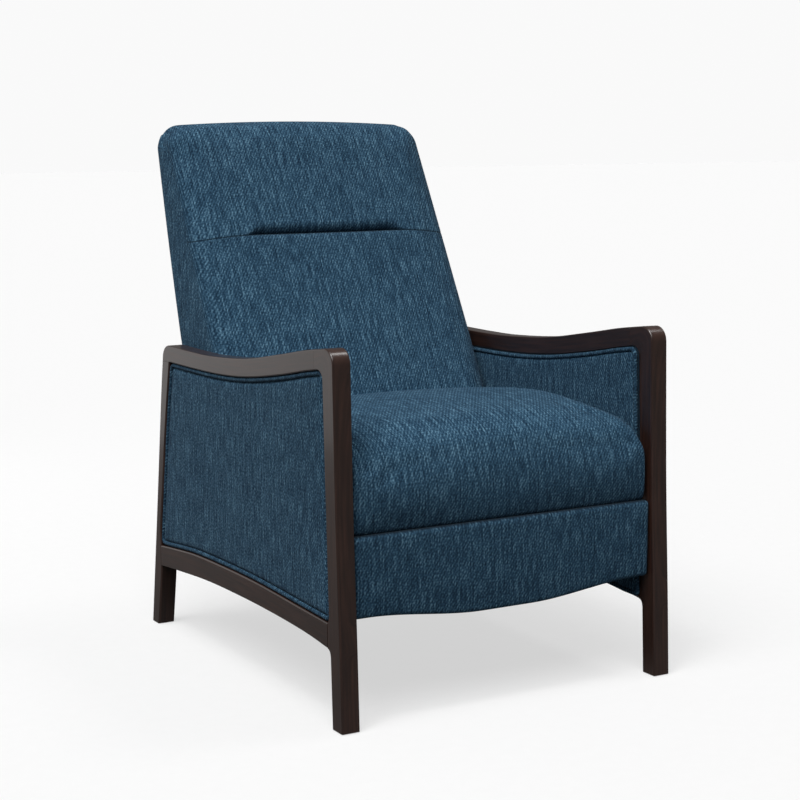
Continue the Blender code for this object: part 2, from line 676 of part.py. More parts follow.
# ---------------------------------------------------------------- assembly
def build():
    clear_scene()
    for side_name, side in SIDES:
        front_leg(side_name, side)
        arm_rail(side_name, side)
        bottom_rail(side_name, side)
        rear_leg(side_name, side)
        glides(side_name, side)
        side_upholstery(side_name, side)
        base_rail(side_name, side)
        carriers(side_name, side)
        side_plate(side_name, side)
        back_bracket(side_name, side)
        footrest_links(side_name, side)
        footrest_bracket(side_name, side)
    stretchers()
    torque_tube()
    seat_cushion()
    seat_frame()
    seat_springs()
    back_pad()
    back_board()
    back_cover()
    footrest()


build()
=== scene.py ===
"""Looks of the push-back recliner armchair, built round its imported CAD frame.

Metres, +Z up. The chair faces -Y, and "left" and "right" are as seen from the front.
Side outlines are lists of (depth behind the front feet, height).
"""

import math

import bmesh
import bpy
import numpy as np
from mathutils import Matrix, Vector


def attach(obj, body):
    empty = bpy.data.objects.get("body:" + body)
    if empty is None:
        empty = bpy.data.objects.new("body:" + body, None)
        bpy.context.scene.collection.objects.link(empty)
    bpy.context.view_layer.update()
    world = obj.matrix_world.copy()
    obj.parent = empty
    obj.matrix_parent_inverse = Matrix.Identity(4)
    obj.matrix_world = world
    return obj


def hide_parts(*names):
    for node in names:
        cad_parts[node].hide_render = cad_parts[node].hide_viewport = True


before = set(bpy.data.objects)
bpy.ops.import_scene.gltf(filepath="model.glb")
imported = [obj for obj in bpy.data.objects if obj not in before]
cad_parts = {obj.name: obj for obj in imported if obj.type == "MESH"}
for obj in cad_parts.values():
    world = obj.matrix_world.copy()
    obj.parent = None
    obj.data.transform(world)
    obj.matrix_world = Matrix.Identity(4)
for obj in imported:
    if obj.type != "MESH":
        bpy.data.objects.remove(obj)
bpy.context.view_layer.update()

scene = bpy.context.scene
SIDES = (("left", -1), ("right", 1))

# ---------------------------------------------------------------- sizes of the side frames
FOOT_DEPTH = 0.4396            # from the front feet to the middle of the chair
FRAME_IN = 0.3065
FRAME_OUT = 0.3406
FOOT_BOTTOM = 0.0018
EDGE_ROUND = 0.0030
LACQUER = 0.0006               # the members stand this much outside their CAD solids
JOINT_GAP = 0.0003
SHARP_ANGLE = math.radians(50)

LEG_FRONT = [(0.0006, FOOT_BOTTOM), (0.0070, 0.1400), (0.0165, 0.3080), (0.0215, 0.4200)]
LEG_TOP_CORNER = (0.0290, 0.6430)
LEG_TOP_RADIUS = 0.026
ARM_JOINT = 0.0935
ARM_START = 0.6345             # height of the arm's top where it meets the leg
ARM_UNDER = 0.6000             # height of its underside there
ARM_TOP = [(0.0938, ARM_START), (0.1390, 0.6275), (0.2300, 0.6105), (0.3610, 0.5888),
           (0.5020, 0.5770), (0.6000, 0.5745), (0.6900, 0.5745)]
ARM_END_CORNER = (0.7335, 0.5745)
ARM_END = (0.7380, 0.5430)
ARM_LOWER = [(0.0938, ARM_UNDER), (0.1300, 0.5940), (0.2300, 0.5750), (0.3580, 0.5560),
             (0.4740, 0.5470), (0.6000, 0.5440), (0.7060, 0.5433)]
RAIL_UPPER = [(0.0458, 0.1800), (0.1300, 0.1825), (0.3255, 0.1880), (0.4680, 0.1870),
              (0.5980, 0.1830), (0.7030, 0.1735), (0.7642, 0.1667)]
RAIL_LOWER = [(0.0420, 0.1360), (0.1310, 0.1440), (0.2590, 0.1480), (0.3970, 0.1480),
              (0.5450, 0.1440), (0.6920, 0.1330), (0.7642, 0.1265)]
RAIL_JOINT = 0.0515            # depth of the joint between front leg and bottom rail
RAIL_JOINT_LOW = 0.1372
RAIL_JOINT_HIGH = 0.1802
RAIL_CURVE_GAP = 0.0037        # the rail's curves start this far behind the joint
REAR_JOINT = 0.7645            # depth of the joint between rear leg and bottom rail
REAR_JOINT_LOW = 0.1265
REAR_JOINT_HIGH = 0.1667
OPENING_FRONT_TOP = (0.0655, 0.6045)
OPENING_FRONT_MIDDLE = (0.0580, 0.4330)
OPENING_REAR = [(0.7520, 0.2835), (0.7315, 0.4140)]
OPENING_REAR_TOP = (0.7060, 0.5433)
OPENING_CORNER = 0.017
ARM_END_RADIUS = 0.028

WELT_RADIUS = 0.0042

# ---------------------------------------------------------------- sizes of the soft pieces
SEAT_HALF = 0.2970
SEAT_DECK = 0.3982             # height of the springs' top, under the foam
SEAT_FOOT = 0.3273             # lower edge of the front band
SEAT_FRONT_LINE = [(0.0355, SEAT_FOOT), (0.0305, 0.3400), (0.0295, 0.3850), (0.0325, 0.4280),
                   (0.0430, 0.4630), (0.0650, 0.4840), (0.1000, 0.4940), (0.1600, 0.5000),
                   (0.2500, 0.5035), (0.3300, 0.5005), (0.4000, 0.4940), (0.4500, 0.4870),
                   (0.4900, 0.4790), (0.5080, 0.4740)]
SEAT_UNDER_LINE = [(0.0550, SEAT_FOOT), (0.0550, SEAT_DECK), (0.4730, SEAT_DECK), (0.5060, 0.4600)]

BACK_HALF = 0.2895
BACK_HALF_TOP = 0.2825
BACK_FOOT = 0.4030
BACK_TOP = 1.0035
BACK_TOP_SAG = 0.009
BACK_EDGE_AT = (0.6300, 0.5850)   # a point on the front corner of the boxing
BACK_EDGE_SLOPE = 0.5370
BACK_REAR_AT = (0.6960, 0.4020)
BACK_REAR_LEAN = math.radians(17.7)
BACK_FRONT_ROUND = 0.040
BACK_REAR_ROUND = 0.003
BACK_REAR_FLARE = 0.0035
BACK_CROWN = 0.016
BACK_TOP_CORNER = 0.040
COVER_THICK = 0.0063
COVER_HALF = 0.2815
BOARD_THICK = 0.0183
BOARD_HALF = 0.2790
BOARD_TOP = 0.9860
BOARD_UNDER_TOP = 0.012
BOARD_EDGE_GAP = 0.0008
TUCK_HEIGHT = 0.7848
TUCK_HALF = 0.1740
TUCK_RADIUS = 0.0200           # of the roll that hangs over the tuck
TUCK_ROLL_END = math.radians(50)  # how far the roll turns under
TUCK_DROOP = 0.0130            # the seams at its ends run this much lower at the sides

FOOTREST_HALF = 0.3043
FOOTREST_TOP = 0.3262
FOOTREST_END = 0.1868
FOOTREST_DROP = 0.0186
FOOTREST_WAVE = (0.050, 0.280)
FOOTREST_THICK = 0.0230
FOOTREST_ROLL = 0.0065
FOOTREST_CROWN = 0.0025
FOOTREST_CROWN_REACH = 0.07
FOOTREST_BACK = 0.0440
FOOTREST_CORNER = 0.006
GAP_SHADOW_REACH = 0.0024             # how far the painted shadow of the gap under the seat reaches down the footrest


# ---------------------------------------------------------------- lines and outlines
def row_y(depth):
    return depth - FOOT_DEPTH


def smooth(points, steps=8):
    """Points of a smooth curve through the given points."""
    ends = [points[0]] + list(points) + [points[-1]]
    curve = []
    for i in range(len(points) - 1):
        p0, p1, p2, p3 = (Vector(ends[i + k]) for k in range(4))
        for s in range(steps):
            t = s / steps
            curve.append(tuple(0.5 * (2 * p1 + (p2 - p0) * t + (2 * p0 - 5 * p1 + 4 * p2 - p3) * t * t
                                      + (3 * p1 - p0 - 3 * p2 + p3) * t ** 3)))
    return curve + [tuple(points[-1])]


def fillet(before, corner, after, radius, steps=8):
    """Arc points that round a corner."""
    corner = Vector(corner)
    a = (Vector(before) - corner).normalized()
    b = (Vector(after) - corner).normalized()
    half = a.angle(b) / 2
    reach = radius / math.tan(half)
    centre = corner + (a + b).normalized() * (radius / math.sin(half))
    start = corner + a * reach - centre
    turn = start.angle_signed(corner + b * reach - centre)
    points = []
    for s in range(steps + 1):
        angle = -turn * s / steps
        x = start.x * math.cos(angle) - start.y * math.sin(angle)
        y = start.x * math.sin(angle) + start.y * math.cos(angle)
        points.append((centre.x + x, centre.y + y))
    return points


def inset(outline, distance):
    """A closed outline moved inwards."""
    p = np.array(outline)
    following = np.roll(p, -1, axis=0)
    area = np.sum(p[:, 0] * following[:, 1] - following[:, 0] * p[:, 1])
    along = following - np.roll(p, 1, axis=0)
    along /= np.linalg.norm(along, axis=1)[:, None]
    normal = np.stack([-along[:, 1], along[:, 0]], axis=1)
    return p + normal * distance * math.copysign(1, area)


def lengths(points):
    """Distance along a line at each of its points."""
    steps = np.linalg.norm(np.diff(np.array(points, float), axis=0), axis=1)
    return np.concatenate([[0.0], np.cumsum(steps)])


def at_shares(points, shares):
    """Points at the given shares of a line's length."""
    p = np.array(points, float)
    s = lengths(p)
    return np.stack([np.interp(np.array(shares) * s[-1], s, p[:, k]) for k in range(p.shape[1])], axis=1)


def graded(length, fine, reach, step):
    """Shares of a length, closer and closer together towards both ends."""
    ends = reach * (1 - np.cos(np.linspace(0, math.pi / 2, int(round(reach / fine)) + 1)))
    middle = np.linspace(reach, length - reach, max(2, int(round((length - 2 * reach) / step)) + 1))
    return np.concatenate([ends, middle[1:-1], length - ends[::-1]]) / length


def quarter(share):
    """Rise of a quarter circle: 0 at share 0, with an upright start, and 1 at share 1."""
    rest = 1 - np.clip(share, 0, 1)
    return np.sqrt(np.maximum(1 - rest * rest, 0))


def ease(share):
    t = np.clip(share, 0, 1)
    return t * t * (3 - 2 * t)


# ---------------------------------------------------------------- meshes
def closed_mesh(name, vertices, faces):
    """A mesh whose faces all point outwards."""
    mesh = bpy.data.meshes.new(name)
    mesh.from_pydata([tuple(map(float, v)) for v in vertices], [], faces)
    turned = bmesh.new()
    turned.from_mesh(mesh)
    bmesh.ops.recalc_face_normals(turned, faces=turned.faces)
    turned.to_mesh(mesh)
    turned.free()
    return mesh


def add_piece(name, vertices, faces, material, body, replaced):
    """A closed mesh object that rides on a body and stands for CAD nodes."""
    mesh = closed_mesh(name, vertices, faces)
    mesh.materials.append(material)
    mesh.shade_smooth()
    obj = bpy.data.objects.new(name, mesh)
    scene.collection.objects.link(obj)
    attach(obj, body)
    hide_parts(*replaced)
    return obj


def even_normals(obj):
    modifier = obj.modifiers.new("even_normals", "WEIGHTED_NORMAL")
    modifier.mode = "FACE_AREA"
    modifier.weight = 80
    modifier.keep_sharp = True


def lay_fabric(obj, coordinates, period=0.0):
    """Write the weave's own coordinates, in metres, for each vertex of a piece."""
    mesh = obj.data
    layer = mesh.uv_layers.new(name="weave")
    loops = np.zeros(len(mesh.loops), int)
    mesh.loops.foreach_get("vertex_index", loops)
    uv = np.array(coordinates, float)[loops]
    if period:
        for polygon in mesh.polygons:
            span = slice(polygon.loop_start, polygon.loop_start + polygon.loop_total)
            if np.ptp(uv[span, 0]) > period / 2:
                uv[span, 0] = np.where(uv[span, 0] < period / 2, uv[span, 0] + period, uv[span, 0])
    layer.data.foreach_set("uv", uv.astype(np.float32).ravel())


SIDE_FACING = 0.72             # sideways share of a face's normal from which the side cut begins


def lay_fabric_by_face(obj, front_uv, side_uv):
    """Weave coordinates that change from one cut of cloth to the other where the surface turns sideways."""
    mesh = obj.data
    layer = mesh.uv_layers.new(name="weave")
    front = np.array(front_uv, float)
    side = np.array(side_uv, float)
    values = np.zeros((len(mesh.loops), 2))
    for polygon in mesh.polygons:
        source = side if abs(polygon.normal.x) > SIDE_FACING else front
        for loop in polygon.loop_indices:
            values[loop] = source[mesh.loops[loop].vertex_index]
    layer.data.foreach_set("uv", values.astype(np.float32).ravel())


def paint_shade(obj, shares):
    """Write how much painted shade each vertex shows."""
    obj.data.attributes.new("painted_shade", "FLOAT", "POINT").data.foreach_set("value", np.array(shares, np.float32))


def grid_faces(rows, columns, first=0):
    faces = []
    for i in range(rows - 1):
        for j in range(columns - 1):
            a = first + i * columns + j
            faces.append((a, a + columns, a + columns + 1, a + 1))
    return faces


# ---------------------------------------------------------------- materials
class Nodes:
    """A short way to write a node tree."""

    def __init__(self, name):
        self.material = bpy.data.materials.new(name)
        self.material.use_nodes = True
        self.tree = self.material.node_tree
        self.shader = self.tree.nodes["Principled BSDF"]

    def add(self, kind, settings=None, **inputs):
        node = self.tree.nodes.new(kind)
        for key, value in (settings or {}).items():
            setattr(node, key, value)
        for key, value in inputs.items():
            self.put(node, key, value)
        return node

    def put(self, node, key, value):
        socket = node.inputs[int(key[1:])] if key[0] == "i" and key[1:].isdigit() else node.inputs[key]
        if isinstance(value, bpy.types.NodeSocket):
            self.tree.links.new(value, socket)
        else:
            socket.default_value = value

    def math(self, operation, a, b=0.0, c=0.0):
        node = self.add("ShaderNodeMath", {"operation": operation}, i0=a, i1=b)
        if operation == "MULTIPLY_ADD":
            self.put(node, "i2", c)
        return node.outputs[0]

    def scaled(self, vector, scale):
        return self.add("ShaderNodeVectorMath", {"operation": "MULTIPLY"}, i0=vector, i1=scale).outputs[0]

    def noise(self, vector, scale, detail=2.0, roughness=0.5, distortion=0.0):
        node = self.add("ShaderNodeTexNoise", Vector=self.scaled(vector, scale), Scale=1.0, Detail=detail,
                        Roughness=roughness, Distortion=distortion)
        return node.outputs["Fac"]

    def ramp(self, value, stops):
        node = self.add("ShaderNodeValToRGB", Fac=value)
        elements = node.color_ramp.elements
        while len(elements) < len(stops):
            elements.new(0.5)
        for element, (position, colour) in zip(elements, stops):
            element.position = position
            element.color = (*colour, 1.0)
        return node.outputs["Color"]

    def bump(self, height, distance, strength=1.0):
        node = self.add("ShaderNodeBump", Height=height, Distance=distance, Strength=strength)
        return node.outputs["Normal"]

    def finish(self, **values):
        for key, value in values.items():
            self.put(self.shader, key.replace("_", " "), value)
        return self.material


def weave_coordinates(n):
    return n.add("ShaderNodeUVMap", {"uv_map": "weave"}).outputs["UV"]


TWILL_SLOPE = -0.65
TWILL_PERIOD = 0.0066
TWEED_BLUES = ((0.10, (0.0045, 0.0150, 0.0310)), (0.42, (0.0140, 0.0400, 0.0730)),
               (0.62, (0.0320, 0.0800, 0.1320)), (0.95, (0.1200, 0.2350, 0.3250)))
PLYWOOD_TONES = ((0.30, (0.30, 0.19, 0.095)), (0.55, (0.44, 0.30, 0.165)), (0.80, (0.56, 0.41, 0.25)))


def tweed(name, tone=1.0):
    """Heathered blue cloth: fine diagonal twill with lighter slubs that run down it, darkened by painted
    shade where a mesh attribute asks for it.
    """
    n = Nodes(name)
    uv = weave_coordinates(n)
    parts = n.add("ShaderNodeSeparateXYZ", Vector=uv)
    slant = n.math("MULTIPLY_ADD", parts.outputs["Y"], TWILL_SLOPE, parts.outputs["X"])
    wobble = n.noise(uv, (120.0, 40.0, 1.0), 1.0)
    phase = n.math("MULTIPLY_ADD", slant, 2 * math.pi / TWILL_PERIOD, n.math("MULTIPLY", wobble, 2.0))
    twill = n.math("SINE", phase)
    heather = n.noise(uv, (330.0, 260.0, 1.0), 0.0)
    slub = n.noise(uv, (330.0, 27.0, 1.0), 1.0, 0.6)
    stripe = n.noise(uv, (120.0, 7.0, 1.0), 2.0, 0.5)
    cloud = n.noise(uv, (8.0, 4.0, 1.0), 2.0, 0.5)
    light = n.math("MULTIPLY", twill, 0.10)
    for layer, share in ((heather, 0.62), (slub, 0.85), (stripe, 0.30), (cloud, 0.12)):
        light = n.math("MULTIPLY_ADD", layer, share, light)
    light = n.math("SUBTRACT", light, 0.405)
    colour = n.ramp(light, [(position, tuple(c * tone for c in blue)) for position, blue in TWEED_BLUES])
    # Painted shade: a per-vertex attribute darkens the cloth towards near black along seam creases, under the
    # headrest's tuck and along the footrest's top edge.
    painted_shade = n.add("ShaderNodeAttribute", {"attribute_name": "painted_shade"}).outputs["Fac"]
    shaded = n.add("ShaderNodeMix", {"data_type": "RGBA"})
    n.put(shaded, "i0", n.math("MULTIPLY", painted_shade, 0.8))
    n.put(shaded, "i6", colour)
    n.put(shaded, "i7", (0.003, 0.006, 0.010, 1.0))
    height = n.math("MULTIPLY_ADD", heather, 0.5, n.math("MULTIPLY", twill, 0.22))
    height = n.math("MULTIPLY_ADD", slub, 0.5, height)
    return n.finish(Base_Color=shaded.outputs[2], Roughness=0.95, Normal=n.bump(height, 0.0008, 0.8),
                    Sheen_Weight=0.02, Sheen_Roughness=0.5, Specular_IOR_Level=0.08)


def stained_wood(name):
    """Dark stained hardwood under satin lacquer; the grain runs along each member."""
    n = Nodes(name)
    uv = weave_coordinates(n)
    grain = n.noise(uv, (230.0, 7.0, 1.0), 5.0, 0.62, 0.35)
    pores = n.noise(uv, (1600.0, 55.0, 1.0), 2.0, 0.6)
    patches = n.noise(uv, (14.0, 5.0, 1.0), 2.0, 0.5)
    mix = n.math("MULTIPLY_ADD", patches, 0.35, n.math("MULTIPLY", grain, 0.75))
    colour = n.ramp(mix, [(0.30, (0.0090, 0.0038, 0.0026)), (0.52, (0.0230, 0.0100, 0.0068)),
                          (0.78, (0.0560, 0.0240, 0.0160))])
    height = n.math("MULTIPLY_ADD", pores, 0.6, grain)
    rough = n.math("MULTIPLY_ADD", grain, 0.12, 0.30)
    return n.finish(Base_Color=colour, Roughness=rough, Normal=n.bump(height, 0.00025, 0.35),
                    Coat_Weight=0.50, Coat_Roughness=0.14, Specular_IOR_Level=0.5)


def plywood(name, stain=(1.0, 1.0, 1.0)):
    """Plywood or plain board with long grain; stain darkens it."""
    n = Nodes(name)
    place = n.add("ShaderNodeTexCoord").outputs["Object"]
    grain = n.noise(place, (14.0, 130.0, 90.0), 5.0, 0.6, 0.8)
    fleck = n.noise(place, (150.0, 900.0, 900.0), 2.0, 0.6)
    mix = n.math("MULTIPLY_ADD", fleck, 0.25, n.math("MULTIPLY", grain, 0.8))
    colour = n.ramp(mix, [(position, tuple(c * s for c, s in zip(tone, stain)))
                          for position, tone in PLYWOOD_TONES])
    return n.finish(Base_Color=colour, Roughness=0.72, Normal=n.bump(mix, 0.0004, 0.5))


def metal(name, dark, light, roughness, metallic):
    """Plated or painted steel with a fine rolled texture."""
    n = Nodes(name)
    place = n.add("ShaderNodeTexCoord").outputs["Object"]
    rolled = n.noise(place, (60.0, 900.0, 900.0), 3.0, 0.6)
    cloud = n.noise(place, (22.0, 22.0, 22.0), 3.0, 0.6)
    mix = n.math("MULTIPLY_ADD", rolled, 0.4, n.math("MULTIPLY", cloud, 0.6))
    colour = n.ramp(mix, [(0.32, dark), (0.70, light)])
    rough = n.math("MULTIPLY_ADD", mix, 0.2, roughness - 0.1)
    return n.finish(Base_Color=colour, Roughness=rough, Metallic=metallic, Normal=n.bump(rolled, 0.0001, 0.4))


def moulded(name):
    n = Nodes(name)
    place = n.add("ShaderNodeTexCoord").outputs["Object"]
    pebble = n.noise(place, (1500.0, 1500.0, 1500.0), 1.0)
    colour = n.ramp(pebble, [(0.3, (0.016, 0.016, 0.017)), (0.7, (0.030, 0.030, 0.031))])
    return n.finish(Base_Color=colour, Roughness=0.55, Normal=n.bump(pebble, 0.0001, 0.6))


FABRIC = tweed("blue_tweed")
WELT_FABRIC = tweed("blue_tweed_welt", 0.80)
LINING = tweed("dark_lining", 0.30)
WOOD = stained_wood("espresso_wood_satin")
HIDDEN_WOOD = plywood("frame_plywood")
STAINED_BOARD = plywood("frame_stained_board", (0.075, 0.055, 0.075))
STEEL = metal("mechanism_steel_painted", (0.030, 0.030, 0.032), (0.060, 0.060, 0.064), 0.42, 0.6)
SPRING_STEEL = metal("spring_wire", (0.16, 0.15, 0.14), (0.30, 0.29, 0.28), 0.36, 1.0)
NYLON = moulded("glide_nylon_moulded")


# ---------------------------------------------------------------- wooden members
def member(name, outer, inner, x_range, replaced):
    """A wooden member between two matched edges, with rounded long edges."""
    x_low, x_high = x_range
    angles = np.linspace(0, math.pi / 2, 6)
    outer = np.array(outer, float)
    inner = np.array(inner, float)
    along = lengths((outer + inner) / 2)
    vertices, uv = [], []
    for start, stop, distance in zip(outer, inner, along):
        inward = (stop - start) / np.linalg.norm(stop - start)
        width = float(np.linalg.norm(stop - start)) + LACQUER
        section = []
        for corner_x, sx, base, sb in ((x_low, 1, -LACQUER, 1), (x_low, 1, width, -1),
                                       (x_high, -1, width, -1), (x_high, -1, -LACQUER, 1)):
            turned = angles if (corner_x == x_low) == (base > 0) else angles[::-1]
            for angle in turned:
                section.append((corner_x + sx * EDGE_ROUND * (1 - math.cos(angle)),
                                base + sb * EDGE_ROUND * (1 - math.sin(angle))))
        for (x, b), turned_by in zip(section, lengths(section)):
            depth, height = start + inward * b
            vertices.append((x, row_y(depth), height))
            uv.append((turned_by, distance))
    ring = len(section)
    count = len(outer)
    faces = []
    for i in range(count - 1):
        for k in range(ring):
            a, b = i * ring + k, i * ring + (k + 1) % ring
            faces.append((a, a + ring, b + ring, b))
    faces.append(tuple(range(ring)))
    faces.append(tuple(range((count - 1) * ring, count * ring)))
    obj = add_piece(name, vertices, faces, WOOD, "base", replaced)
    lay_fabric(obj, uv, 2 * (x_high - x_low + float(np.linalg.norm(inner[0] - outer[0]))))
    for polygon in list(obj.data.polygons)[-2:]:
        polygon.use_smooth = False
    obj.data.set_sharp_from_angle(angle=SHARP_ANGLE)
    even_normals(obj)


def paired(sections):
    """Join (outer part, inner part, steps) sections into two matched edges."""
    outer, inner = [], []
    for k, (outer_part, inner_part, steps) in enumerate(sections):
        shares = np.linspace(0, 1, steps + 1)
        first = 0 if k == 0 else 1
        outer += list(at_shares(outer_part, shares)[first:])
        inner += list(at_shares(inner_part, shares)[first:])
    return outer, inner


def along_line(points, start, end):
    """The part of a line between two shares of its length."""
    return at_shares(points, np.linspace(start, end, 24))


def rising(points, low, high):
    """The part of a rising line between two heights."""
    p = np.array(points, float)
    heights = np.linspace(low, high, 24)
    return np.stack([np.interp(heights, p[:, 1], p[:, 0]), heights], axis=1)


def front_leg_edges():
    top_round = fillet(LEG_FRONT[-1], LEG_TOP_CORNER, (ARM_JOINT, ARM_START), LEG_TOP_RADIUS, 12)
    inner_round = fillet(OPENING_FRONT_MIDDLE, OPENING_FRONT_TOP, (ARM_JOINT, ARM_UNDER), OPENING_CORNER, 12)
    front = smooth(LEG_FRONT + [tuple(top_round[0])])
    joint_low = (RAIL_JOINT, RAIL_JOINT_LOW)
    joint_high = (RAIL_JOINT, RAIL_JOINT_HIGH)
    sections = [
        (rising(front, FOOT_BOTTOM, 0.1230), [(0.0350, FOOT_BOTTOM), (0.0408, 0.1230)], 8),
        (rising(front, 0.1230, RAIL_JOINT_LOW),
         [(0.0408, 0.1230), (0.0425, 0.1310), (0.0465, 0.1358), joint_low], 6),
        (rising(front, RAIL_JOINT_LOW, RAIL_JOINT_HIGH), [joint_low, joint_high], 2),
        (rising(front, RAIL_JOINT_HIGH, 0.1925), [joint_high, (0.0485, 0.1832), (0.0467, 0.1925)], 6),
        (rising(front, 0.1925, top_round[0][1]),
         [(0.0467, 0.1925), OPENING_FRONT_MIDDLE, tuple(inner_round[0])], 20),
        (top_round, inner_round, 12),
        ([top_round[-1], (ARM_JOINT, ARM_START)], [inner_round[-1], (ARM_JOINT, ARM_UNDER)], 3),
    ]
    return paired(sections)


def arm_edges():
    top = smooth(ARM_TOP)
    lower = smooth(ARM_LOWER)
    rear_round = fillet(ARM_TOP[-1], ARM_END_CORNER, ARM_END, ARM_END_RADIUS, 10)
    sections = [
        (top, along_line(lower, 0.0, 0.972), 44),
        ([top[-1], rear_round[0]], along_line(lower, 0.972, 0.984), 2),
        (rear_round, along_line(lower, 0.984, 0.997), 10),
        ([rear_round[-1], ARM_END], along_line(lower, 0.997, 1.0), 2),
    ]
    return paired(sections)


def rail_edges():
    start = RAIL_JOINT + JOINT_GAP
    upper, lower = ([(start, height)] + [p for p in smooth(line) if p[0] > start + RAIL_CURVE_GAP]
                    for height, line in ((RAIL_JOINT_HIGH, RAIL_UPPER), (RAIL_JOINT_LOW, RAIL_LOWER)))
    return paired([(upper, lower, 44)])


def rear_leg_edges():
    rear = smooth([(0.8150, FOOT_BOTTOM), (0.7800, 0.2460), (0.7510, 0.4590), (0.7400, 0.5310),
                   (0.7380, 0.5427)])
    joint_low = (REAR_JOINT, REAR_JOINT_LOW)
    joint_high = (REAR_JOINT, REAR_JOINT_HIGH)
    front_high = smooth([joint_high, (0.7655, 0.2030), *OPENING_REAR, (0.7060, 0.5427)])
    return paired([(along_line(rear, 0.0, 0.235), [(0.7840, FOOT_BOTTOM), (0.7670, 0.1000), joint_low], 12),
                   (along_line(rear, 0.235, 0.312), [joint_low, joint_high], 2),
                   (along_line(rear, 0.312, 1.0), front_high, 36)])


for side_name, side in SIDES:
    span = tuple(sorted((side * FRAME_IN, side * FRAME_OUT)))
    member(f"leg_front_{side_name}", *front_leg_edges(), span, [f"front_leg_{side_name}"])
    member(f"arm_{side_name}", *arm_edges(), span, [f"arm_rail_{side_name}"])
    member(f"rail_{side_name}", *rail_edges(), span, [f"bottom_rail_{side_name}"])
    member(f"leg_rear_{side_name}", *rear_leg_edges(), span, [f"rear_leg_{side_name}"])


# ---------------------------------------------------------------- padded panels
PILLOW_FINE = 0.0022
PILLOW_STEP = 0.011


def pillow(name, sides, place, thick, roll, crown, body, replaced, crown_reach=0.16):
    """A closed padded panel. sides are its bottom, top, left and right edges in its own plane.

    place(a, b, h) puts a point at height h above the panel's back into the row frame."""
    bottom, top, left, right = (np.array(s, float) for s in sides)
    across_shares = graded(lengths(bottom)[-1], PILLOW_FINE, roll * 1.25, PILLOW_STEP)
    up_shares = graded(lengths(left)[-1], PILLOW_FINE, roll * 1.25, PILLOW_STEP)
    low = at_shares(bottom, across_shares)
    high = at_shares(top, across_shares)
    near = at_shares(left, up_shares)
    far = at_shares(right, up_shares)
    u = across_shares[:, None, None]
    v = up_shares[None, :, None]
    flat = ((1 - v) * low[:, None] + v * high[:, None] + (1 - u) * near[None] + u * far[None]
            - (1 - u) * (1 - v) * low[0] - u * (1 - v) * low[-1] - (1 - u) * v * high[0] - u * v * high[-1])
    border = np.concatenate([low, far[1:], high[::-1][1:], near[::-1][1:-1]])
    points = flat.reshape(-1, 2)
    away = np.full(len(points), 1.0)
    for a, b in zip(border, np.roll(border, -1, axis=0)):
        ab = b - a
        t = np.clip(((points - a) @ ab) / max(ab @ ab, 1e-12), 0, 1)
        away = np.minimum(away, np.linalg.norm(points - (a + t[:, None] * ab), axis=1))
    height = thick - roll + roll * quarter(away / roll)
    height = height + crown * (1 - (1 - np.clip(away / crown_reach, 0, 1)) ** 2)
    rows, columns = len(across_shares), len(up_shares)
    vertices = [place(a, b, h) for (a, b), h in zip(points, height)]
    faces = grid_faces(rows, columns)
    index = np.arange(rows * columns).reshape(rows, columns)
    ring = list(index[:, 0]) + list(index[-1, 1:]) + list(index[::-1, -1][1:]) + list(index[0, ::-1][1:-1])
    base = len(vertices)
    vertices += [place(*points[k], 0.0) for k in ring]
    for k in range(len(ring)):
        following = (k + 1) % len(ring)
        faces.append((int(ring[k]), int(ring[following]), base + following, base + k))
    faces.append(tuple(range(base, base + len(ring))))
    obj = add_piece(name, vertices, faces, FABRIC, body, replaced)
    lay_fabric(obj, np.concatenate([points, inset(points[ring], roll / 2 - thick)]))
    return obj


WELT_SIDES = 10


def closed_tube(name, points, replaced):
    """A round welt on the base along a closed line of row-frame points."""
    p = np.array(points, float)
    along = np.roll(p, -1, axis=0) - np.roll(p, 1, axis=0)
    along /= np.linalg.norm(along, axis=1)[:, None]
    outward = np.array([1.0, 0.0, 0.0])
    normal = np.cross(along, outward)
    normal /= np.linalg.norm(normal, axis=1)[:, None]
    angles = np.linspace(0, 2 * math.pi, WELT_SIDES, endpoint=False)
    round_it = np.cos(angles)[None, :, None] * outward + np.sin(angles)[None, :, None] * normal[:, None]
    vertices = (p[:, None] + WELT_RADIUS * round_it).reshape(-1, 3)
    count = len(p)
    faces = []
    for i in range(count):
        j = (i + 1) % count
        for k in range(WELT_SIDES):
            m = (k + 1) % WELT_SIDES
            faces.append((i * WELT_SIDES + k, j * WELT_SIDES + k, j * WELT_SIDES + m, i * WELT_SIDES + m))
    obj = add_piece(name, vertices, faces, WELT_FABRIC, "base", replaced)
    distance = lengths(np.concatenate([p, p[:1]]))
    uv = [(distance[i], WELT_RADIUS * angle) for i in range(count) for angle in angles]
    lay_fabric(obj, uv, distance[-1])


def panel_outline(margin, lower_edge, front_foot, rear_foot, foot_corner):
    """Closed (depth, height) outline of a side panel, and where its four corners are in it."""
    top = list(reversed(smooth(ARM_LOWER)[5:-5]))
    bottom = smooth(lower_edge)[5:-5]
    parts = [top, fillet(top[-1], OPENING_FRONT_TOP, OPENING_FRONT_MIDDLE, OPENING_CORNER),
             [OPENING_FRONT_MIDDLE], fillet(OPENING_FRONT_MIDDLE, front_foot, bottom[0], foot_corner),
             bottom, fillet(bottom[-1], rear_foot, OPENING_REAR[0], foot_corner),
             OPENING_REAR, fillet(OPENING_REAR[-1], OPENING_REAR_TOP, top[0], OPENING_CORNER)]
    outline, corners = [], []
    for k, part in enumerate(parts):
        if k % 2:
            corners.append(len(outline) + len(part) // 2)
        outline += part
    return inset(outline, margin), corners


def even_outline(outline, spacing):
    """The same closed outline with evenly spaced points."""
    closed = np.concatenate([outline, outline[:1]])
    count = int(round(lengths(closed)[-1] / spacing))
    return at_shares(closed, np.linspace(0, 1, count + 1))[:-1]


